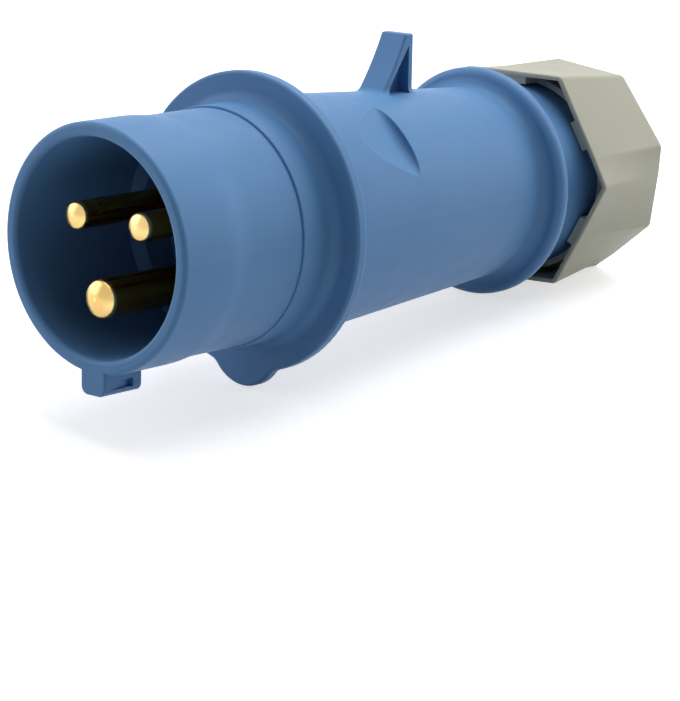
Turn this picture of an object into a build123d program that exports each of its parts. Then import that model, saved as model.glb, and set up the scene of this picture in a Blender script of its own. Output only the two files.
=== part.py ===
from build123d import *
import os
from math import asin, cos, degrees, radians, sin

# Industrial pin and sleeve plug: a moulded sleeve around three contact pins, a housing with a
# flange and a retaining fin, and a cable gland with a nut at the rear.
# The plug's axis is Y: pins towards -Y, cable towards +Y, fin up (+Z). Lengths are millimetres,
# places along the axis are measured from the flange's front face, angles from +X towards +Z.

# Front sleeve
sleeve_length = 38.0
sleeve_wall = 2.6
rim_round = 0.9
band_length = 10.0
band_blend = 8.0
band_step = 0.5
spigot_depth = 14.0
groove_floor = 0.5
throat_cone = 2.0
lip_thickness = 1.5
lip_height = 1.2
snap_height = 0.5
snap_width = 1.0

# Key under the rim
key_width = 5.8
key_length = 9.0
key_height = 3.8
key_round = 1.5
key_edge_round = 0.3
key_pocket_length = 6.2
key_pocket_height = 1.5
key_pocket_depth = 1.0
key_pocket_from_rear = 2.0

# Bayonet between sleeve and housing
lug_height = 0.9
lug_width = 2.5
lug_setback = 9.0
lug_arc = 20.0
lug_angles = (0.0, 180.0)
bayonet_twist = 30.0
bayonet_arc_play = 2.0

# Contact carrier and its cover
plate_thickness = 5.0
carrier_ledge = 2.65
carrier_body_length = 15.0
cover_thickness = 2.0
wire_hole_radius = 2.4
cover_screw_radius = 1.25
cover_screw_length = 9.0
screw_slot_width = 0.8
screw_slot_depth = 0.8

# Contact pins
pin_circle_radius = 8.94
pin_wall_gap = 6.96
live_pin_radius = 2.5
earth_pin_radius = 3.5
live_tip_setback = 2.6
earth_tip_setback = 0.6
tip_dome_ratio = 1.8
tip_edge_ratio = 0.3
pin_seat_step = 0.3
pin_collar_step = 1.0
pin_collar_thickness = 2.0
tail_width = 4.0
tail_thickness = 2.6
tail_offset = 0.8

# Terminal clamp cages and their screws
cage_wall = 1.4
cage_top_wall = 1.9
cage_length = 7.0
cage_setback = 4.5
wire_space = 3.2
terminal_screw_radius = 1.75
terminal_head_radius = 2.9
terminal_head_height = 1.8
terminal_screw_backed_out = 1.4

# Rear housing
collar_length = 8.0
collar_step = 0.4
collar_wall = 1.85
collar_edge_round = 0.25
collar_foot_round = 2.0
flange_width = 4.7
flange_thickness = 2.5
flange_edge_round = 0.6
flange_rear_round = 2.8
lobe_radius = 8.3
lobe_drop = 2.95
lobe_blend = 3.0
body_wall = 2.65
body_taper = 4.1
housing_wall = 2.4
ridge_setback = 66.7
ridge_height = 3.8
ridge_width = 3.4
ridge_round = 1.5
ridge_foot_round = 2.2
neck_step = 0.6
neck_length = 21.3
neck_foot_round = 0.6
throat_length = 12.0

# Retaining fin
fin_setback = 43.1
fin_height = 11.1
fin_width = 6.2
fin_tip_length = 2.1
fin_base_length = 8.8
fin_hollow = 0.5
fin_web = 1.4
fin_rear_plate = 1.3
fin_ramp_plate = 1.2
fin_pocket_drop = 2.2
fin_edge_round = 0.4
fin_foot_round = 1.6

# Finger scoops
scoop_setback = 26.7
scoop_angles = (44.0, 136.0)
scoop_depth = 1.5
scoop_floor_length = 11.3
scoop_wall_round = 1.2
scoop_edge_round = 0.2

# Cable gland
seat_depth = 14.0
seat_ledge = 1.6
neck_wall = 2.4
finger_count = 8
finger_slot_width = 1.8
finger_ring_length = 5.0
finger_wall = 3.25
finger_taper = 4.45
finger_tip_wall = 1.3
finger_hook_length = 3.1
grommet_lip_height = 1.4
grommet_lip_thickness = 2.0
grommet_length = 14.3
grommet_wall = 5.05
insert_wall = 2.45
insert_collar_height = 1.45
insert_collar_thickness = 1.2
seal_section_radius = 0.85
seal_setback = 3.0

# Gland nut and its slip ring
nut_gap = 11.2
nut_turn = 0.5
hex_sides = 6
hex_wall = 2.4
octagon_sides = 8
nut_taper = 0.7
octagon_phase = 15.0
flat_crown = 0.12
nut_corner_round = 1.5
nut_front_round = 0.35
nut_end_round = 0.8
skirt_wall = 0.9
pocket_depth = 9.5
pad_width = 6.0
pad_setback = 0.5
thread_wall = 1.2
thread_setback = 4.5
tightening_travel = 3.0
shoulder_length = 3.0
end_wall = 1.9
entry_radius = 9.6
entry_chamfer = 0.8
slip_ring_inset = 0.75
slip_ring_gap = 1.0
slip_ring_length = 3.2
slip_ring_lip = 0.5

# Clearances
spigot_clearance = 0.15
carrier_clearance = 0.15
pin_clearance = 0.1
cage_clearance = 0.25
screw_clearance = 0.1
seal_clearance = 0.05
gland_clearance = 0.15
thread_clearance = 0.3
ring_clearance = 0.3
ring_end_clearance = 0.1

# Radii and places that follow from the sizes above
rim_y = -sleeve_length
mouth_radius = pin_circle_radius + earth_pin_radius + pin_wall_gap
rim_radius = mouth_radius + sleeve_wall
barrel_radius = rim_radius - band_step
collar_radius = barrel_radius + collar_step
housing_bore_radius = collar_radius - collar_wall
spigot_radius = housing_bore_radius - spigot_clearance
groove_radius = spigot_radius - 2 * seal_section_radius + 2 * seal_clearance
spigot_bore_radius = groove_radius - groove_floor
lip_radius = spigot_bore_radius - lip_height
carrier_radius = spigot_bore_radius - carrier_clearance
carrier_body_radius = carrier_radius - carrier_ledge
cover_y = plate_thickness + carrier_body_length
body_front_radius = housing_bore_radius + body_wall
body_rear_radius = body_front_radius - body_taper
flange_radius = body_front_radius + flange_width
lobe_reach = flange_radius + lobe_drop
ridge_radius = body_rear_radius + ridge_height
ridge_front = ridge_setback - ridge_width / 2
ridge_rear = ridge_setback + ridge_width / 2
neck_radius = body_rear_radius - neck_step
neck_end = ridge_setback + neck_length
gland_bore_radius = neck_radius - neck_wall
throat_radius = gland_bore_radius - seat_ledge
seat_y = neck_end - seat_depth
crown_radius = gland_bore_radius - gland_clearance
finger_inner_radius = crown_radius - finger_wall
finger_tip_radius = crown_radius - finger_taper
grommet_front = seat_y + grommet_lip_thickness
grommet_rear = grommet_front + grommet_length
hook_start = grommet_rear + insert_collar_thickness
finger_end = hook_start + finger_hook_length
slip_ring_radius = crown_radius - slip_ring_inset
ring_front = finger_end + slip_ring_gap
ring_rear = ring_front + slip_ring_length
nut_front = ridge_setback + nut_gap
nut_rear = ring_rear + ring_end_clearance + end_wall
nut_length = nut_rear - nut_front
nut_bore_radius = neck_radius + thread_clearance
hex_flat_radius = nut_bore_radius + hex_wall
octagon_flat_radius = hex_flat_radius - nut_taper
rearward = (0, 1, 0)

pin_angles = {"line": 30.0, "neutral": 150.0, "earth": 270.0}
pin_radii = {"line": live_pin_radius, "neutral": live_pin_radius, "earth": earth_pin_radius}
tip_setbacks = {"line": live_tip_setback, "neutral": live_tip_setback, "earth": earth_tip_setback}

# Terminal places along the radius, measured from a pin's own axis
tail_inner = tail_offset - tail_thickness / 2
tail_outer = tail_inner + tail_thickness
window_outer = tail_outer + screw_clearance
window_inner = tail_inner - wire_space
cage_outer = window_outer + cage_top_wall
cage_inner = window_inner - cage_wall
window_width = tail_width + 2 * cage_clearance
cage_width = window_width + 2 * cage_wall
cage_y = cover_y - cage_setback - cage_length


def station(y):
    """Cross-section of the plug at y: local x is X, local y is Z."""
    return Plane.XZ.offset(-y)


def radial_plane(angle):
    """Plane through the plug's axis: local x points outwards at this angle, local y is the axis."""
    a = radians(angle)
    return Plane(origin=(0, 0, 0), x_dir=(cos(a), 0, sin(a)), z_dir=(-sin(a), 0, cos(a)))


def terminal_station(angle, y):
    """Cross-section at y turned to one pin: local x points outwards, local y runs around."""
    a = radians(angle)
    return Plane(origin=(0, y, 0), x_dir=(cos(a), 0, sin(a)), z_dir=(0, -1, 0))


def pin_plane(angle):
    """Plane through one pin's own axis, for turned profiles: local y is the axis."""
    a = radians(angle)
    origin = (pin_circle_radius * cos(a), 0, pin_circle_radius * sin(a))
    return Plane(origin=origin, x_dir=(cos(a), 0, sin(a)), z_dir=(-sin(a), 0, cos(a)))


def screw_plane(angle, y, reach):
    """Plane across a terminal screw, facing outwards, at this distance from the pin's axis."""
    a = radians(angle)
    r = pin_circle_radius + reach
    return Plane(origin=(r * cos(a), y, r * sin(a)), x_dir=(0, 1, 0), z_dir=(cos(a), 0, sin(a)))


def body_radius(y):
    """Outer radius of the housing's tapered body."""
    share = (y - flange_thickness) / (ridge_front - flange_thickness)
    return body_front_radius + share * (body_rear_radius - body_front_radius)


def polygon_reach(flat_radius, sides, angle):
    """Distance from centre to the edge of a regular polygon that has a corner at angle 0."""
    step = 360 / sides
    return flat_radius / cos(radians(angle % step - step / 2))


def nut_section(inset, share):
    """Corners of the nut's cross-section, from the hexagon (share 0) to the octagon (share 1)."""
    hex_corners = [360 / hex_sides * i for i in range(hex_sides)]
    octagon_corners = [octagon_phase + 360 / octagon_sides * i for i in range(octagon_sides)]
    points = []
    for angle in sorted(set(hex_corners + octagon_corners)):
        front = polygon_reach(hex_flat_radius - inset, hex_sides, angle)
        rear = polygon_reach(octagon_flat_radius - inset, octagon_sides, angle - octagon_phase)
        if angle not in hex_corners:
            front += flat_crown
        if angle not in octagon_corners:
            rear += flat_crown
        reach = front + share * (rear - front)
        a = radians(angle + nut_turn)
        points.append((reach * cos(a), reach * sin(a)))
    return points


os.makedirs("parts", exist_ok=True)


# Key: nose under the sleeve's rim, with rounded lower and front edges, moulded with the sleeve
key_root = rim_radius - sleeve_wall / 2
key_reach = rim_radius + key_height
with BuildPart() as key:
    with BuildSketch(station(rim_y)) as key_outline:
        with Locations((0, -(key_root + key_reach) / 2)):
            Rectangle(key_width, key_reach - key_root)
        fillet(key_outline.vertices().group_by(Axis.Y)[0], key_round)
    extrude(amount=key_length, dir=rearward)
    front_edges = key.faces().sort_by(Axis.Y)[0].edges()
    fillet(front_edges.sort_by(Axis.Z)[:-1], key_edge_round)


# Front sleeve: moulded tube with a stepped band at the rim, a spigot that goes into the housing,
# a lip in front of the carrier and a snap ridge behind it
snap_y = plate_thickness + carrier_clearance
groove_half = seal_section_radius + seal_clearance
cone_end = -collar_length
cone_start = cone_end - throat_cone
band_end = rim_y + band_length
blend_end = band_end + band_blend
blend_middle = band_end + band_blend / 2
with BuildPart() as front_sleeve:
    with BuildSketch(Plane.XY) as sleeve_profile:
        with BuildLine():
            Line((rim_radius, rim_y), (rim_radius, band_end))
            Bezier(
                (rim_radius, band_end),
                (rim_radius, blend_middle),
                (barrel_radius, blend_middle),
                (barrel_radius, blend_end),
            )
            Polyline(
                (barrel_radius, blend_end),
                (barrel_radius, -collar_length),
                (spigot_radius, -collar_length),
                (spigot_radius, seal_setback - groove_half),
                (groove_radius, seal_setback - groove_half),
                (groove_radius, seal_setback + groove_half),
                (spigot_radius, seal_setback + groove_half),
                (spigot_radius, spigot_depth),
                (spigot_bore_radius, spigot_depth),
                (spigot_bore_radius, snap_y + snap_width),
                (spigot_bore_radius - snap_height, snap_y + snap_width / 2),
                (spigot_bore_radius, snap_y),
                (spigot_bore_radius, 0),
                (lip_radius, 0),
                (lip_radius, -lip_thickness),
                (spigot_bore_radius, -lip_thickness),
                (spigot_bore_radius, cone_end),
                (mouth_radius, cone_start),
                (mouth_radius, rim_y),
                (rim_radius, rim_y),
            )
        make_face()
        fillet(sleeve_profile.vertices().group_by(Axis.Y)[0], rim_round)
    revolve(axis=Axis.Y)
    # Bayonet lugs on the spigot
    for angle in lug_angles:
        with BuildSketch(radial_plane(angle + lug_arc / 2)):
            with Locations((spigot_radius, lug_setback)):
                Rectangle(2 * lug_height, lug_width)
        revolve(axis=Axis.Y, revolution_arc=lug_arc)
    # The key, with a pocket in each side that gets deeper to the rear
    add(key.part)
    pocket_rear = rim_y + key_length - key_pocket_from_rear
    pocket_z = -(rim_radius + key_reach) / 2
    with BuildSketch(Plane.XY.offset(pocket_z)):
        with BuildLine():
            Polyline(
                (key_width / 2, pocket_rear - key_pocket_length),
                (key_width / 2, pocket_rear),
                (key_width / 2 - key_pocket_depth, pocket_rear),
                close=True,
            )
        make_face()
        mirror(about=Plane.YZ)
    extrude(amount=key_pocket_height / 2, both=True, mode=Mode.SUBTRACT)
front_sleeve.part.label = "front_sleeve"
export_step(front_sleeve.part, "parts/front_sleeve.step")


# Contact carrier: plate behind the sleeve's lip, and three walls that part the terminals
boss_radius = lip_radius - carrier_clearance
pocket_inner = pin_circle_radius + cage_inner - cage_clearance
pocket_width = cage_width + 2 * cage_clearance
collar_y = plate_thickness - pin_collar_thickness
with BuildPart() as contact_carrier:
    with BuildSketch(station(-lip_thickness)):
        Circle(boss_radius)
    extrude(amount=lip_thickness, dir=rearward)
    with BuildSketch(station(0)):
        Circle(carrier_radius)
    extrude(amount=plate_thickness, dir=rearward)
    with BuildSketch(station(plate_thickness)):
        Circle(carrier_body_radius)
    extrude(amount=carrier_body_length, dir=rearward)
    for name, angle in pin_angles.items():
        pin_hole = pin_radii[name] + pin_seat_step + pin_clearance
        with BuildSketch(terminal_station(angle, -lip_thickness)):
            with Locations((pin_circle_radius, 0)):
                Circle(pin_hole)
        extrude(amount=lip_thickness + plate_thickness, dir=rearward, mode=Mode.SUBTRACT)
        with BuildSketch(terminal_station(angle, collar_y)):
            with Locations((pin_circle_radius, 0)):
                Circle(pin_hole + pin_collar_step)
        extrude(amount=pin_collar_thickness, dir=rearward, mode=Mode.SUBTRACT)
        with BuildSketch(terminal_station(angle, plate_thickness)):
            with Locations((pocket_inner + carrier_body_radius / 2, 0)):
                Rectangle(carrier_body_radius, pocket_width)
        extrude(amount=carrier_body_length, dir=rearward, mode=Mode.SUBTRACT)
    with BuildSketch(station(cover_y - cover_screw_length)):
        Circle(cover_screw_radius + screw_clearance)
    extrude(amount=cover_screw_length, dir=rearward, mode=Mode.SUBTRACT)
contact_carrier.part.label = "contact_carrier"
export_step(contact_carrier.part, "parts/contact_carrier.step")


# Contact pins: turned, with a low domed tip, a thicker seat and a collar in the carrier's plate,
# and a flat tail
for name, angle in pin_angles.items():
    radius = pin_radii[name]
    seat_radius = radius + pin_seat_step
    tip_y = rim_y + tip_setbacks[name]
    dome_radius = tip_dome_ratio * radius
    dome_angle = degrees(asin(1 / tip_dome_ratio))
    axis_point = pin_plane(angle).origin
    with BuildPart() as contact_pin:
        with BuildSketch(pin_plane(angle)):
            with BuildLine():
                dome = CenterArc((0, tip_y + dome_radius), dome_radius, -90, dome_angle)
                Polyline(
                    dome @ 1,
                    (radius, -lip_thickness),
                    (seat_radius, -lip_thickness),
                    (seat_radius, collar_y),
                    (seat_radius + pin_collar_step, collar_y),
                    (seat_radius + pin_collar_step, plate_thickness),
                    (0, plate_thickness),
                    (0, tip_y),
                )
            make_face()
        revolve(axis=Axis(axis_point, rearward))
        rings = contact_pin.edges().filter_by(lambda edge: edge.is_closed)
        fillet(rings.sort_by(Axis.Y)[0], tip_edge_ratio * radius)
        with BuildSketch(terminal_station(angle, plate_thickness)):
            with Locations((pin_circle_radius + (tail_inner + tail_outer) / 2, 0)):
                Rectangle(tail_thickness, tail_width)
        extrude(amount=carrier_body_length - pin_clearance, dir=rearward)
    contact_pin.part.label = name + "_pin"
    export_step(contact_pin.part, f"parts/{name}_pin.step")


# Terminal clamps: square cages around the tails, pulled outwards by their screws
for name, angle in pin_angles.items():
    with BuildPart() as terminal:
        with BuildSketch(terminal_station(angle, cage_y)):
            with Locations((pin_circle_radius + (cage_inner + cage_outer) / 2, 0)):
                Rectangle(cage_outer - cage_inner, cage_width)
            with Locations((pin_circle_radius + (window_inner + window_outer) / 2, 0)):
                Rectangle(window_outer - window_inner, window_width, mode=Mode.SUBTRACT)
        extrude(amount=cage_length, dir=rearward)
        with BuildSketch(screw_plane(angle, cage_y + cage_length / 2, window_outer)):
            Circle(terminal_screw_radius + screw_clearance)
        extrude(amount=cage_top_wall, mode=Mode.SUBTRACT)
    terminal.part.label = name + "_terminal"
    export_step(terminal.part, f"parts/{name}_terminal.step")


# Terminal screws: backed out as delivered, each with its tip on the tail
for name, angle in pin_angles.items():
    head_reach = cage_outer + terminal_screw_backed_out
    screw_y = cage_y + cage_length / 2
    with BuildPart() as terminal_screw:
        with BuildSketch(screw_plane(angle, screw_y, tail_outer)):
            Circle(terminal_screw_radius)
        extrude(amount=head_reach - tail_outer)
        with BuildSketch(screw_plane(angle, screw_y, head_reach)):
            Circle(terminal_head_radius)
        extrude(amount=terminal_head_height)
        with BuildSketch(screw_plane(angle, screw_y, head_reach + terminal_head_height - screw_slot_depth)):
            Rectangle(2 * terminal_head_radius, screw_slot_width)
        extrude(amount=screw_slot_depth, mode=Mode.SUBTRACT)
    terminal_screw.part.label = name + "_screw"
    export_step(terminal_screw.part, f"parts/{name}_screw.step")


# Carrier cover: plate behind the terminals with a hole for each wire
wire_reach = pin_circle_radius + (window_inner + tail_inner) / 2
with BuildPart() as carrier_cover:
    with BuildSketch(station(cover_y)):
        Circle(carrier_body_radius)
        Circle(cover_screw_radius + screw_clearance, mode=Mode.SUBTRACT)
        for angle in pin_angles.values():
            with PolarLocations(wire_reach, 1, start_angle=angle):
                Circle(wire_hole_radius, mode=Mode.SUBTRACT)
    extrude(amount=cover_thickness, dir=rearward)
carrier_cover.part.label = "carrier_cover"
export_step(carrier_cover.part, "parts/carrier_cover.step")


# Cover screw: slotted cheese-head screw into the carrier's core
cover_head_radius = 2 * cover_screw_radius
cover_head_height = terminal_head_height
cover_head_y = cover_y + cover_thickness
with BuildPart() as cover_screw:
    with BuildSketch(station(cover_y - cover_screw_length + screw_clearance)):
        Circle(cover_screw_radius)
    extrude(amount=cover_screw_length - screw_clearance + cover_thickness, dir=rearward)
    with BuildSketch(station(cover_head_y)):
        Circle(cover_head_radius)
    extrude(amount=cover_head_height, dir=rearward)
    with BuildSketch(station(cover_head_y + cover_head_height - screw_slot_depth)):
        Rectangle(2 * cover_head_radius, screw_slot_width)
    extrude(amount=screw_slot_depth, dir=rearward, mode=Mode.SUBTRACT)
cover_screw.part.label = "cover_screw"
export_step(cover_screw.part, "parts/cover_screw.step")


# Housing seal: O-ring in the spigot's groove
with BuildPart() as housing_seal:
    with BuildSketch(Plane.XY):
        with Locations((groove_radius + seal_clearance + seal_section_radius, seal_setback)):
            Circle(seal_section_radius)
    revolve(axis=Axis.Y)
housing_seal.part.label = "housing_seal"
export_step(housing_seal.part, "parts/housing_seal.step")


# Rear housing: collar, flange with its lobe, tapered body, fin, scoops, ridge and gland neck
hub_radius = (body_front_radius + flange_rear_round + flange_radius) / 2
ridge_foot = min(ridge_foot_round, ridge_height - ridge_round)
cavity_front = spigot_depth + carrier_clearance
throat_y = seat_y - throat_length
cavity_rear_radius = body_radius(throat_y) - housing_wall
throat_cone_end = throat_y + cavity_rear_radius - throat_radius
with BuildPart() as rear_housing:
    # Flange plate with the rounded lobe at its bottom
    with BuildSketch(station(0)):
        Circle(flange_radius)
        with Locations((0, lobe_radius - lobe_reach)):
            Circle(lobe_radius)
    extrude(amount=flange_thickness, dir=rearward)
    fillet(rear_housing.edges().filter_by(Axis.Y).group_by(Axis.Z)[0], lobe_blend)
    fillet(rear_housing.faces().filter_by(Axis.Y).edges(), flange_edge_round)
    # Collar, body, ridge and neck
    with BuildSketch(Plane.XY):
        with BuildLine():
            FilletPolyline(
                (0, -collar_length),
                (collar_radius, -collar_length),
                (collar_radius, 0),
                (hub_radius, 0),
                (hub_radius, flange_thickness),
                (body_front_radius, flange_thickness),
                (body_rear_radius, ridge_front),
                (ridge_radius, ridge_front),
                (ridge_radius, ridge_rear),
                (neck_radius, ridge_rear),
                (neck_radius, neck_end),
                (0, neck_end),
                radius=(
                    collar_edge_round, collar_foot_round, 0, 0, flange_rear_round, ridge_foot,
                    ridge_round, ridge_round, neck_foot_round, 0,
                ),
            )
            Line((0, neck_end), (0, -collar_length))
        make_face()
    revolve(axis=Axis.Y)
    # Retaining fin: rear plate, hollowed ramp and a web between two side pockets
    fin_front = fin_setback - fin_base_length
    fin_top = body_radius(fin_setback) + fin_height
    fin_sink = housing_wall / 2
    fin_root = body_radius(fin_front) - fin_sink
    ramp_slope = (fin_base_length - fin_tip_length) / (fin_top - body_radius(fin_front))
    ramp_top = (fin_setback - fin_tip_length, fin_top)
    ramp_foot = (fin_front - fin_sink * ramp_slope, fin_root)
    ramp_middle = ((ramp_top[0] + ramp_foot[0]) / 2 + fin_hollow, (ramp_top[1] + ramp_foot[1]) / 2)
    with BuildSketch(Plane.YZ):
        with BuildLine():
            ThreePointArc(ramp_foot, ramp_middle, ramp_top)
            Polyline(
                ramp_top,
                (fin_setback, fin_top),
                (fin_setback, fin_root),
                ramp_foot,
            )
        make_face()
    extrude(amount=fin_width / 2, both=True)
    fin_edges = rear_housing.edges().filter_by_position(Axis.Z, body_front_radius, fin_top)
    fillet(fin_edges.filter_by_position(Axis.Y, fin_front, fin_setback), fin_edge_round)
    foot_edges = rear_housing.edges().filter_by_position(Axis.Y, ramp_foot[0], fin_setback)
    fillet(foot_edges.filter_by_position(Axis.Z, fin_root, body_front_radius), fin_foot_round)
    fin_pocket_foot = body_radius(fin_setback)
    for side in (1, -1):
        with BuildSketch(Plane.YZ.offset(side * fin_web / 2)):
            with BuildLine():
                Polyline(
                    (fin_setback - fin_rear_plate, fin_pocket_foot),
                    (fin_front + fin_ramp_plate, fin_pocket_foot),
                    (fin_setback - fin_rear_plate, fin_top - fin_pocket_drop),
                    close=True,
                )
            make_face()
        extrude(amount=side * fin_width, mode=Mode.SUBTRACT)
    # Finger scoops: a sloped floor that curves up into a steep rear wall
    scoop_front = scoop_setback - scoop_floor_length - scoop_wall_round
    scoop_valley = scoop_setback - scoop_wall_round
    scoop_floor = body_radius(scoop_setback) - scoop_depth
    scoop_top = body_radius(scoop_front) + scoop_depth
    for angle in scoop_angles:
        with BuildSketch(radial_plane(angle)):
            with BuildLine():
                wall = CenterArc((scoop_floor + scoop_wall_round, scoop_valley), scoop_wall_round, 180, -90)
                Polyline(
                    wall @ 1,
                    (scoop_top, scoop_setback),
                    (scoop_top, scoop_front),
                    (body_radius(scoop_front), scoop_front),
                    wall @ 0,
                )
            make_face()
        extrude(amount=body_front_radius, both=True, mode=Mode.SUBTRACT)
        fillet(rear_housing.edges(Select.NEW).sort_by(Axis.Y)[-1], scoop_edge_round)
    # Inside: bore for the spigot, wiring space, throat and seat of the clamping fingers
    with BuildSketch(Plane.XY):
        with BuildLine():
            Polyline(
                (0, -collar_length),
                (housing_bore_radius, -collar_length),
                (housing_bore_radius, cavity_front),
                (body_radius(cavity_front) - housing_wall, cavity_front),
                (cavity_rear_radius, throat_y),
                (throat_radius, throat_cone_end),
                (throat_radius, seat_y),
                (gland_bore_radius, seat_y),
                (gland_bore_radius, neck_end),
                (0, neck_end),
                close=True,
            )
        make_face()
    revolve(axis=Axis.Y, mode=Mode.SUBTRACT)
    # Bayonet grooves: an entry slot from the front and a turn to the lug's place
    groove_reach = lug_height + spigot_clearance
    groove_width = lug_width + 2 * spigot_clearance
    groove_arc = lug_arc + bayonet_arc_play
    for angle in lug_angles:
        with BuildSketch(radial_plane(angle + groove_arc / 2)):
            with Locations((housing_bore_radius, lug_setback)):
                Rectangle(2 * groove_reach, groove_width)
        revolve(axis=Axis.Y, revolution_arc=groove_arc + bayonet_twist, mode=Mode.SUBTRACT)
        entry_end = lug_setback + groove_width / 2
        with BuildSketch(radial_plane(angle + groove_arc / 2 - bayonet_twist)):
            with Locations((housing_bore_radius, (entry_end - collar_length) / 2)):
                Rectangle(2 * groove_reach, entry_end + collar_length)
        revolve(axis=Axis.Y, revolution_arc=groove_arc, mode=Mode.SUBTRACT)
rear_housing.part.label = "rear_housing"
export_step(rear_housing.part, "parts/rear_housing.step")


# Clamp cage: crown of fingers around the seal, seated in the neck
slot_start = seat_y + finger_ring_length
tip_inner_radius = finger_tip_radius - finger_tip_wall
grommet_lip_radius = finger_inner_radius - grommet_lip_height
with BuildPart() as clamp_cage:
    with BuildSketch(Plane.XY):
        with BuildLine():
            Polyline(
                (grommet_lip_radius, seat_y),
                (crown_radius, seat_y),
                (crown_radius, neck_end),
                (finger_tip_radius, finger_end),
                (tip_inner_radius, finger_end),
                (finger_inner_radius, hook_start),
                (finger_inner_radius, grommet_front),
                (grommet_lip_radius, grommet_front),
                close=True,
            )
        make_face()
    revolve(axis=Axis.Y)
    with BuildSketch(station(slot_start)):
        with PolarLocations(crown_radius / 2, finger_count):
            Rectangle(crown_radius, finger_slot_width)
    extrude(amount=finger_end - slot_start, dir=rearward, mode=Mode.SUBTRACT)
clamp_cage.part.label = "clamp_cage"
export_step(clamp_cage.part, "parts/clamp_cage.step")


# Sealing grommet: rubber sleeve inside the fingers
grommet_radius = finger_inner_radius - gland_clearance
grommet_bore_radius = grommet_radius - grommet_wall
with BuildPart() as sealing_grommet:
    with BuildSketch(station(grommet_front)):
        Circle(grommet_radius)
        Circle(grommet_bore_radius, mode=Mode.SUBTRACT)
    extrude(amount=grommet_length, dir=rearward)
sealing_grommet.part.label = "sealing_grommet"
export_step(sealing_grommet.part, "parts/sealing_grommet.step")


# Grommet insert: inner ring of the seal, pulled out for thick cables
insert_radius = grommet_bore_radius - seal_clearance
insert_bore_radius = insert_radius - insert_wall
insert_collar_radius = insert_radius + insert_collar_height
with BuildPart() as grommet_insert:
    with BuildSketch(station(grommet_front)):
        Circle(insert_radius)
    extrude(amount=grommet_length, dir=rearward)
    with BuildSketch(station(grommet_rear)):
        Circle(insert_collar_radius)
    extrude(amount=insert_collar_thickness, dir=rearward)
    with BuildSketch(station(grommet_front)):
        Circle(insert_bore_radius)
    extrude(amount=grommet_length + insert_collar_thickness, dir=rearward, mode=Mode.SUBTRACT)
grommet_insert.part.label = "grommet_insert"
export_step(grommet_insert.part, "parts/grommet_insert.step")


# Clamp ring: slip ring in the nut's end, with a cone that closes the fingers
ring_hole_radius = entry_radius + slip_ring_lip
with BuildPart() as clamp_ring:
    with BuildSketch(Plane.XY):
        with BuildLine():
            Polyline(
                (slip_ring_radius, ring_front),
                (slip_ring_radius, ring_rear),
                (ring_hole_radius, ring_rear),
                (ring_hole_radius, ring_rear - slip_ring_lip),
                (slip_ring_radius - slip_ring_lip, ring_front),
                close=True,
            )
        make_face()
    revolve(axis=Axis.Y)
clamp_ring.part.label = "clamp_ring"
export_step(clamp_ring.part, "parts/clamp_ring.step")


# Gland nut: six-sided skirt that turns into an eight-sided end, cored out behind its corners
thread_front = nut_front + thread_setback
thread_rear = neck_end + tightening_travel + ring_end_clearance
recess_radius = slip_ring_radius + ring_clearance
recess_start = thread_rear + shoulder_length
end_inner = nut_rear - end_wall
pocket_end = nut_front + pocket_depth
with BuildPart() as gland_nut:
    with BuildSketch(station(nut_front)):
        Polygon(*nut_section(0, 0), align=None)
    with BuildSketch(station(nut_rear)):
        Polygon(*nut_section(0, 1), align=None)
    loft(ruled=True)
    nut_faces = gland_nut.faces().sort_by(Axis.Y)
    fillet(gland_nut.edges() - nut_faces[0].edges() - nut_faces[-1].edges(), nut_corner_round)
    fillet(gland_nut.faces().sort_by(Axis.Y)[0].edges(), nut_front_round)
    fillet(gland_nut.faces().sort_by(Axis.Y)[-1].edges(), nut_end_round)
    # Corner pockets behind the skirt
    with BuildSketch(station(nut_front)):
        Polygon(*nut_section(skirt_wall, 0), align=None)
    with BuildSketch(station(pocket_end)):
        Polygon(*nut_section(skirt_wall, pocket_depth / nut_length), align=None)
    loft(ruled=True, mode=Mode.SUBTRACT)
    # Round threaded sleeve, and a pad at the middle of each flat that joins it to the skirt
    with BuildSketch(station(thread_front)):
        Circle(nut_bore_radius + thread_wall)
    extrude(amount=pocket_end - thread_front, dir=rearward)
    pad_height = hex_wall - skirt_wall / 2
    pad_y = nut_front + pad_setback
    first_pad = nut_turn + 180 / hex_sides
    with BuildSketch(station(pad_y)):
        with PolarLocations(nut_bore_radius + pad_height / 2, hex_sides, start_angle=first_pad):
            Rectangle(pad_height, pad_width)
    extrude(amount=pocket_end - pad_y, dir=rearward)
    # Bore, shoulder, recess of the clamp ring and cable entry
    with BuildSketch(Plane.XY):
        with BuildLine():
            Polyline(
                (0, nut_front),
                (nut_bore_radius, nut_front),
                (nut_bore_radius, thread_rear),
                (recess_radius, recess_start),
                (recess_radius, end_inner),
                (entry_radius, end_inner),
                (entry_radius, nut_rear - entry_chamfer),
                (entry_radius + entry_chamfer, nut_rear),
                (0, nut_rear),
                close=True,
            )
        make_face()
    revolve(axis=Axis.Y, mode=Mode.SUBTRACT)
gland_nut.part.label = "gland_nut"
export_step(gland_nut.part, "parts/gland_nut.step")
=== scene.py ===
import math

import bpy
from mathutils import Euler, Matrix, Vector


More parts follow.
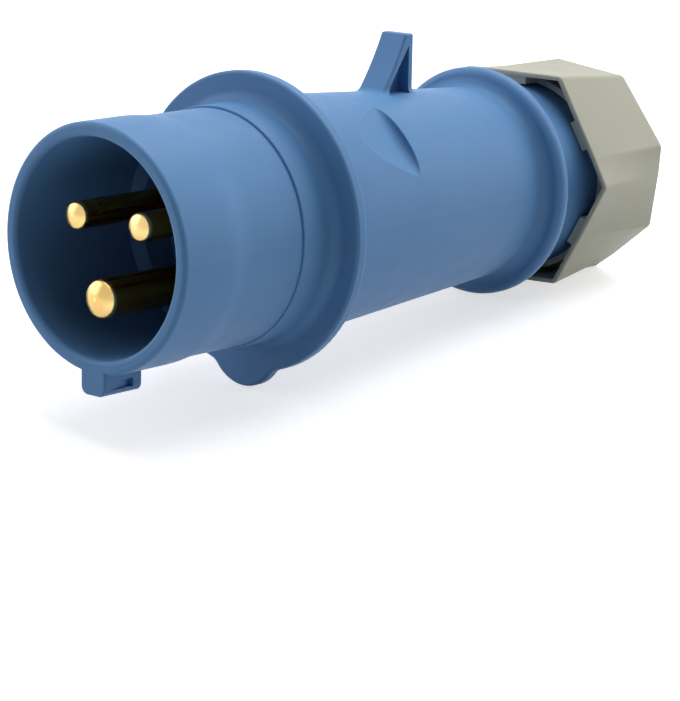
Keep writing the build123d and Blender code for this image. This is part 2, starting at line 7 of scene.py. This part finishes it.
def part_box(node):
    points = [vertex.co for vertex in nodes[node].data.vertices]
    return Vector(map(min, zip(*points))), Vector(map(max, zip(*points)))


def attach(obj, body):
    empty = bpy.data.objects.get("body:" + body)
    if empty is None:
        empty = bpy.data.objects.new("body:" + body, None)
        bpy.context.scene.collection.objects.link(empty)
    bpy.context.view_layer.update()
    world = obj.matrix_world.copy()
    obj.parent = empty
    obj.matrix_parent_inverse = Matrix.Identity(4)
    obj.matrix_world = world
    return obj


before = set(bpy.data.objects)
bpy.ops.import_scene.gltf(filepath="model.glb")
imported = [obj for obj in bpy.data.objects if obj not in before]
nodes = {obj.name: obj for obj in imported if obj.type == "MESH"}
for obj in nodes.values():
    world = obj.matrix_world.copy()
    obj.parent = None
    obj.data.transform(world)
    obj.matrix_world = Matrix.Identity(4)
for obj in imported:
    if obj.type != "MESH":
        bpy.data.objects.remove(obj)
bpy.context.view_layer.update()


# Contact carrier and its cover: black thermoset mouldings that hold the three pins apart.
# The carrier snaps into the sleeve's spigot, and the cover is screwed on behind the terminals.
carrier_deep = (0.019, 0.020, 0.022, 1)
carrier_light = (0.029, 0.030, 0.032, 1)


def moulded_plastic(name, deep, light, smooth, rough, grain_depth):
    """Satin moulding: two close tones that flow into each other, and the grain of an etched mould."""
    material = bpy.data.materials.new(name)
    material.use_nodes = True
    tree = material.node_tree
    shader = tree.nodes["Principled BSDF"]
    shader.inputs["Specular IOR Level"].default_value = 0.22
    place = tree.nodes.new("ShaderNodeTexCoord")

    flow = tree.nodes.new("ShaderNodeTexNoise")
    flow.inputs["Scale"].default_value = 24
    flow.inputs["Detail"].default_value = 3
    tones = tree.nodes.new("ShaderNodeValToRGB")
    tones.color_ramp.elements[0].position = 0.3
    tones.color_ramp.elements[0].color = deep
    tones.color_ramp.elements[1].position = 0.7
    tones.color_ramp.elements[1].color = light
    tree.links.new(place.outputs["Object"], flow.inputs["Vector"])
    tree.links.new(flow.outputs["Fac"], tones.inputs["Fac"])
    tree.links.new(tones.outputs["Color"], shader.inputs["Base Color"])

    patches = tree.nodes.new("ShaderNodeTexNoise")
    patches.inputs["Scale"].default_value = 260
    patches.inputs["Detail"].default_value = 4
    sheen = tree.nodes.new("ShaderNodeMapRange")
    sheen.inputs["From Min"].default_value = 0.3
    sheen.inputs["From Max"].default_value = 0.7
    sheen.inputs["To Min"].default_value = smooth
    sheen.inputs["To Max"].default_value = rough
    tree.links.new(place.outputs["Object"], patches.inputs["Vector"])
    tree.links.new(patches.outputs["Fac"], sheen.inputs["Value"])
    tree.links.new(sheen.outputs["Result"], shader.inputs["Roughness"])

    grain = tree.nodes.new("ShaderNodeTexNoise")
    grain.inputs["Scale"].default_value = 2400
    grain.inputs["Detail"].default_value = 2
    relief = tree.nodes.new("ShaderNodeBump")
    relief.inputs["Strength"].default_value = 0.6
    relief.inputs["Distance"].default_value = grain_depth
    tree.links.new(place.outputs["Object"], grain.inputs["Vector"])
    tree.links.new(grain.outputs["Fac"], relief.inputs["Height"])
    tree.links.new(relief.outputs["Normal"], shader.inputs["Normal"])
    return material


def dress(material, *names):
    """Gives this finish to CAD nodes that keep their own shape."""
    for name in names:
        for held in nodes[name].material_slots:
            held.material = material


carrier_plastic = moulded_plastic(
    "carrier_plastic", carrier_deep, carrier_light, smooth=0.42, rough=0.55, grain_depth=0.00002
)
dress(carrier_plastic, "contact_carrier", "carrier_cover")


# Contact pins: brass turned from bar, with bright round tips and painted shade, a dark brown colour, on the
# shanks.
# Each is pressed into the carrier's plate up to its collar, with its flat tail in the terminal.
brass_deep = (0.56, 0.33, 0.09, 1)
brass_light = (0.84, 0.60, 0.25, 1)
# Painted shade: the dark brown that the shanks show deep in the sleeve, given to them as their colour.
brass_painted_shade = (0.40, 0.175, 0.030, 1)
unshaded_tip_length = {"line_pin": 0.0013, "neutral_pin": 0.0013, "earth_pin": 0.0016}
painted_shade_blend = 0.0005
turning_pitch = 0.00012
ring_stretch = (0.02, 1, 0.02)


def turned_brass(name, painted_shade_start):
    """Brass with fine turning marks, bright up to this place along the plug and darkened behind it with
    painted shade.
    """
    material = bpy.data.materials.new(name)
    material.use_nodes = True
    tree = material.node_tree
    shader = tree.nodes["Principled BSDF"]
    shader.inputs["Metallic"].default_value = 1
    place = tree.nodes.new("ShaderNodeTexCoord")

    bright = tree.nodes.new("ShaderNodeTexNoise")
    bright.inputs["Scale"].default_value = 90
    bright.inputs["Detail"].default_value = 4
    bright_tones = tree.nodes.new("ShaderNodeValToRGB")
    bright_tones.color_ramp.elements[0].position = 0.2
    bright_tones.color_ramp.elements[0].color = brass_deep
    bright_tones.color_ramp.elements[1].position = 0.55
    bright_tones.color_ramp.elements[1].color = brass_light
    tree.links.new(place.outputs["Object"], bright.inputs["Vector"])
    tree.links.new(bright.outputs["Fac"], bright_tones.inputs["Fac"])

    spot = tree.nodes.new("ShaderNodeSeparateXYZ")
    behind_tip = tree.nodes.new("ShaderNodeMapRange")
    behind_tip.inputs["From Min"].default_value = painted_shade_start
    behind_tip.inputs["From Max"].default_value = painted_shade_start + painted_shade_blend
    # Painted shade: behind the tip, the brass colour is mixed over to the dark shank colour.
    painted_shade_mix = tree.nodes.new("ShaderNodeMix")
    painted_shade_mix.data_type = "RGBA"
    painted_shade_mix.inputs["B"].default_value = brass_painted_shade
    tree.links.new(place.outputs["Object"], spot.inputs["Vector"])
    tree.links.new(spot.outputs["Y"], behind_tip.inputs["Value"])
    tree.links.new(behind_tip.outputs["Result"], painted_shade_mix.inputs["Factor"])
    tree.links.new(bright_tones.outputs["Color"], painted_shade_mix.inputs["A"])
    tree.links.new(painted_shade_mix.outputs["Result"], shader.inputs["Base Color"])

    gloss = tree.nodes.new("ShaderNodeMapRange")
    gloss.inputs["To Min"].default_value = 0.2
    gloss.inputs["To Max"].default_value = 0.34
    tree.links.new(bright.outputs["Fac"], gloss.inputs["Value"])
    tree.links.new(gloss.outputs["Result"], shader.inputs["Roughness"])

    along = tree.nodes.new("ShaderNodeMapping")
    along.inputs["Scale"].default_value = ring_stretch
    rings = tree.nodes.new("ShaderNodeTexNoise")
    rings.inputs["Scale"].default_value = 1 / turning_pitch
    rings.inputs["Detail"].default_value = 1
    cut_marks = tree.nodes.new("ShaderNodeBump")
    cut_marks.inputs["Strength"].default_value = 0.35
    cut_marks.inputs["Distance"].default_value = 0.000004
    tree.links.new(place.outputs["Object"], along.inputs["Vector"])
    tree.links.new(along.outputs["Vector"], rings.inputs["Vector"])
    tree.links.new(rings.outputs["Fac"], cut_marks.inputs["Height"])
    tree.links.new(cut_marks.outputs["Normal"], shader.inputs["Normal"])
    return material


# Each pin stays bright for its tip length and gets painted shade behind it.
for pin, unshaded_length in unshaded_tip_length.items():
    tip_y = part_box(pin)[0].y
    dress(turned_brass(pin + "_brass", tip_y + unshaded_length), pin)


# Terminal clamps and screws: zinc-plated steel, stamped cages and slotted machine screws.
# Each cage hangs on a pin's tail by its screw, and one more screw holds the carrier's cover.
zinc_deep = (0.42, 0.43, 0.45, 1)
zinc_light = (0.66, 0.67, 0.68, 1)

plated_steel = bpy.data.materials.new("zinc_plating")
plated_steel.use_nodes = True
tree = plated_steel.node_tree
shader = tree.nodes["Principled BSDF"]
shader.inputs["Metallic"].default_value = 1
place = tree.nodes.new("ShaderNodeTexCoord")
spangle = tree.nodes.new("ShaderNodeTexVoronoi")
spangle.inputs["Scale"].default_value = 900
spangle_tones = tree.nodes.new("ShaderNodeValToRGB")
spangle_tones.color_ramp.elements[0].color = zinc_deep
spangle_tones.color_ramp.elements[1].color = zinc_light
plating_gloss = tree.nodes.new("ShaderNodeMapRange")
plating_gloss.inputs["To Min"].default_value = 0.28
plating_gloss.inputs["To Max"].default_value = 0.42
tree.links.new(place.outputs["Object"], spangle.inputs["Vector"])
tree.links.new(spangle.outputs["Distance"], spangle_tones.inputs["Fac"])
tree.links.new(spangle_tones.outputs["Color"], shader.inputs["Base Color"])
tree.links.new(spangle.outputs["Distance"], plating_gloss.inputs["Value"])
tree.links.new(plating_gloss.outputs["Result"], shader.inputs["Roughness"])
dress(plated_steel, "line_terminal", "neutral_terminal", "earth_terminal")
dress(plated_steel, "line_screw", "neutral_screw", "earth_screw", "cover_screw")


# Front sleeve and rear housing: blue polyamide mouldings with a satin, finely etched surface.
# The sleeve's spigot turns into the housing's bayonet, and the housing carries flange and fin.
blue_deep = (0.083, 0.212, 0.428, 1)
blue_light = (0.095, 0.234, 0.462, 1)

blue_plastic = moulded_plastic(
    "blue_polyamide", blue_deep, blue_light, smooth=0.42, rough=0.52, grain_depth=0.00002
)
dress(blue_plastic, "front_sleeve", "rear_housing")


# Housing seal, sealing grommet and its insert: black moulded rubber with a dull skin.
# The ring lies in the spigot's groove, and grommet and insert are squeezed around the cable.
rubber_deep = (0.012, 0.012, 0.013, 1)
rubber_light = (0.024, 0.024, 0.025, 1)

black_rubber = moulded_plastic(
    "dull_rubber", rubber_deep, rubber_light, smooth=0.62, rough=0.8, grain_depth=0.00003
)
dress(black_rubber, "housing_seal", "sealing_grommet", "grommet_insert")


# Neck thread: coarse right-hand thread on the housing's gland neck, moulded with the housing.
# It lies inside the nut at rest, so the neck in front of the nut is plain.
thread_pitch = 0.003
thread_rise = 0.00024
thread_crest = 0.0008
thread_foot = 0.0014
thread_sink = 0.0002
steps_per_turn = 120
merge_distance = 0.000001
flank_angle = math.radians(25)
neck_radius = 0.0180
neck_thread_start = 0.0832
neck_thread_turns = 1.3


def helical_thread(name, radius, rise, start, turns):
    """Sweeps a small trapezium along a right-hand screw line about the plug's axis."""
    bpy.ops.object.select_all(action="DESELECT")
    bpy.ops.mesh.primitive_plane_add(size=1)
    thread = bpy.context.object
    thread.name = name
    thread.data.name = name
    foot = radius - math.copysign(thread_sink, rise)
    crest = radius + rise
    outline = (
        (foot, start - thread_foot / 2),
        (crest, start - thread_crest / 2),
        (foot, start + thread_foot / 2),
        (crest, start + thread_crest / 2),
    )
    for vertex, (x, y) in zip(thread.data.vertices, outline):
        vertex.co = (x, y, 0)
    turn = thread.modifiers.new("turns", "SCREW")
    turn.axis = "Y"
    turn.angle = turns * math.tau
    turn.screw_offset = turns * thread_pitch
    turn.steps = round(turns * steps_per_turn)
    turn.render_steps = turn.steps
    bpy.ops.object.modifier_apply(modifier=turn.name)
    bpy.ops.object.mode_set(mode="EDIT")
    bpy.ops.mesh.select_all(action="SELECT")
    bpy.ops.mesh.remove_doubles(threshold=merge_distance)
    bpy.ops.mesh.fill_holes(sides=0)
    bpy.ops.mesh.normals_make_consistent(inside=False)
    bpy.ops.object.mode_set(mode="OBJECT")
    bpy.ops.object.shade_smooth_by_angle(angle=flank_angle)
    return thread


neck_thread = helical_thread("neck_thread", neck_radius, thread_rise, neck_thread_start, neck_thread_turns)
neck_thread.data.materials.append(blue_plastic)
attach(neck_thread, "plug")


# Clamp cage and clamp ring: pale natural nylon, springy fingers and the cone that closes them.
# The cage stands on the neck's seat, and the ring slips in the end of the nut.
nylon_deep = (0.52, 0.51, 0.45, 1)
nylon_light = (0.60, 0.59, 0.53, 1)

pale_plastic = moulded_plastic(
    "natural_nylon", nylon_deep, nylon_light, smooth=0.38, rough=0.5, grain_depth=0.00002
)
dress(pale_plastic, "clamp_cage", "clamp_ring")


# Gland nut: warm grey polyamide, six-sided in front and eight-sided at the rear.
# It is screwed onto the neck and pushes the ring over the fingers.
grey_deep = (0.385, 0.385, 0.315, 1)
grey_light = (0.425, 0.425, 0.350, 1)

grey_plastic = moulded_plastic(
    "grey_polyamide", grey_deep, grey_light, smooth=0.44, rough=0.54, grain_depth=0.000022
)
dress(grey_plastic, "gland_nut")


# Nut thread: the mating thread in the nut's round inner sleeve, moulded with the nut.
# It runs half a pitch behind the neck's thread, so the two pass each other as the nut turns.
nut_bore_radius = 0.0183
nut_thread_start = neck_thread_start + thread_pitch / 2
nut_thread_turns = 1.8

nut_thread = helical_thread("nut_thread", nut_bore_radius, -thread_rise, nut_thread_start, nut_thread_turns)
nut_thread.data.materials.append(grey_plastic)
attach(nut_thread, "gland_nut")


# Floor: a pale sheet that the plug lies on, touched by the flange's lobe and two nut corners.
# It slopes with those three points, since the model keeps the plug's axis level.
floor_size = 12.0
floor_pitch = math.radians(5.91)
floor_roll = math.radians(6.75)
floor_gap = 0.00006
lobe_contact_y = 0.00198
floor_white = (0.70, 0.70, 0.70, 1)


def shown_rays(tree):
    """Gives 1 to rays from the camera and to mirrored and refracted ones, and 0 to the light's own."""
    ray = tree.nodes.new("ShaderNodeLightPath")
    mirrored = tree.nodes.new("ShaderNodeMath")
    mirrored.operation = "MAXIMUM"
    shown = tree.nodes.new("ShaderNodeMath")
    shown.operation = "MAXIMUM"
    tree.links.new(ray.outputs["Is Glossy Ray"], mirrored.inputs[0])
    tree.links.new(ray.outputs["Is Transmission Ray"], mirrored.inputs[1])
    tree.links.new(ray.outputs["Is Camera Ray"], shown.inputs[0])
    tree.links.new(mirrored.outputs["Value"], shown.inputs[1])
    return shown.outputs["Value"]


bpy.ops.object.select_all(action="DESELECT")
bpy.ops.mesh.primitive_plane_add(size=floor_size)
floor = bpy.context.object
floor.name = "floor"
lobe_contact = Vector((0, lobe_contact_y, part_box("rear_housing")[0].z - floor_gap))
floor_slope = Euler((floor_pitch, floor_roll, 0)).to_matrix().to_4x4()
floor.matrix_world = Matrix.Translation(lobe_contact) @ floor_slope
paper = bpy.data.materials.new("pale_sheet")
paper.use_nodes = True
tree = paper.node_tree
shader = tree.nodes["Principled BSDF"]
shader.inputs["Base Color"].default_value = floor_white
shader.inputs["Roughness"].default_value = 0.6
shader.inputs["Specular IOR Level"].default_value = 0.1
glow = tree.nodes.new("ShaderNodeEmission")
glow.inputs["Strength"].default_value = 0.62
lifted = tree.nodes.new("ShaderNodeAddShader")
seen = tree.nodes.new("ShaderNodeMixShader")
tree.links.new(shader.outputs["BSDF"], lifted.inputs[0])
tree.links.new(glow.outputs["Emission"], lifted.inputs[1])
tree.links.new(shown_rays(tree), seen.inputs["Fac"])
tree.links.new(shader.outputs["BSDF"], seen.inputs[1])
tree.links.new(lifted.outputs["Shader"], seen.inputs[2])
tree.links.new(seen.outputs["Shader"], tree.nodes["Material Output"].inputs["Surface"])
floor.data.materials.append(paper)


# Studio light: a large softbox above, one behind at the right, one in front at the left, and a room.
# The room's light falls off towards one front corner, so surfaces that face it stay deep in tone.
# To the camera and in reflections the room is white.
def softbox(name, place, aim, width, radiance):
    """Square lamp of this width that faces the aim point."""
    lamp = bpy.data.lights.new(name, "AREA")
    lamp.size = width
    lamp.energy = radiance * math.pi * width * width
    box = bpy.data.objects.new(name, lamp)
    box.location = place
    box.rotation_euler = (Vector(aim) - Vector(place)).to_track_quat("-Z", "Y").to_euler()
    bpy.context.scene.collection.objects.link(box)


plug_middle = (0, 0.03, 0)
softbox("overhead_softbox", place=(0.05, 0.25, 0.9), aim=plug_middle, width=1.0, radiance=3.05)
softbox("rear_softbox", place=(0.6, 0.9, 0.4), aim=plug_middle, width=0.8, radiance=1.7)
softbox("front_softbox", place=(-0.95, -0.6, 0.45), aim=plug_middle, width=0.9, radiance=2.1)
dim_corner = (0.72, -0.66, 0.2)
room = bpy.data.worlds.new("pale_room")
room.use_nodes = True
bpy.context.scene.world = room
tree = room.node_tree
walls = tree.nodes["Background"]
walls.inputs["Color"].default_value = (1, 1, 1, 1)
direction = tree.nodes.new("ShaderNodeTexCoord")
towards = tree.nodes.new("ShaderNodeVectorMath")
towards.operation = "DOT_PRODUCT"
towards.inputs[1].default_value = dim_corner
fall = tree.nodes.new("ShaderNodeMapRange")
fall.interpolation_type = "SMOOTHSTEP"
fall.inputs["From Min"].default_value = -0.15
fall.inputs["From Max"].default_value = 0.85
fall.inputs["To Min"].default_value = 0.5
fall.inputs["To Max"].default_value = 0.03
tree.links.new(direction.outputs["Generated"], towards.inputs[0])
tree.links.new(towards.outputs["Value"], fall.inputs["Value"])
strength = tree.nodes.new("ShaderNodeMath")
strength.operation = "MAXIMUM"
tree.links.new(fall.outputs["Result"], strength.inputs[0])
tree.links.new(shown_rays(tree), strength.inputs[1])
tree.links.new(strength.outputs["Value"], walls.inputs["Strength"])
bpy.context.scene.view_settings.view_transform = "Standard"


# Camera: long lens in front and to the right of the plug, a little above its axis.
# It looks at a point under the flange, so the plug lies in the picture's upper half.
camera_azimuth = math.radians(42.28)
camera_elevation = math.radians(10.27)
camera_distance = 0.55
camera_turns_about = Vector((0, 0.007, 0))
camera_aim = Vector((0.01304, 0.01216, -0.02353))
camera_roll = math.radians(1.11)
camera_lens = 154.8
camera_sensor = 36

away = Vector((
    math.sin(camera_azimuth) * math.cos(camera_elevation),
    -math.cos(camera_azimuth) * math.cos(camera_elevation),
    math.sin(camera_elevation),
))
view = bpy.data.cameras.new("camera")
view.lens = camera_lens
view.sensor_width = camera_sensor
camera = bpy.data.objects.new("camera", view)
camera.location = camera_turns_about + away * camera_distance
look = (camera_aim - camera.location).to_track_quat("-Z", "Y")
camera.rotation_euler = (look.to_matrix() @ Matrix.Rotation(camera_roll, 3, "Z")).to_euler()
bpy.context.scene.collection.objects.link(camera)
bpy.context.scene.camera = camera
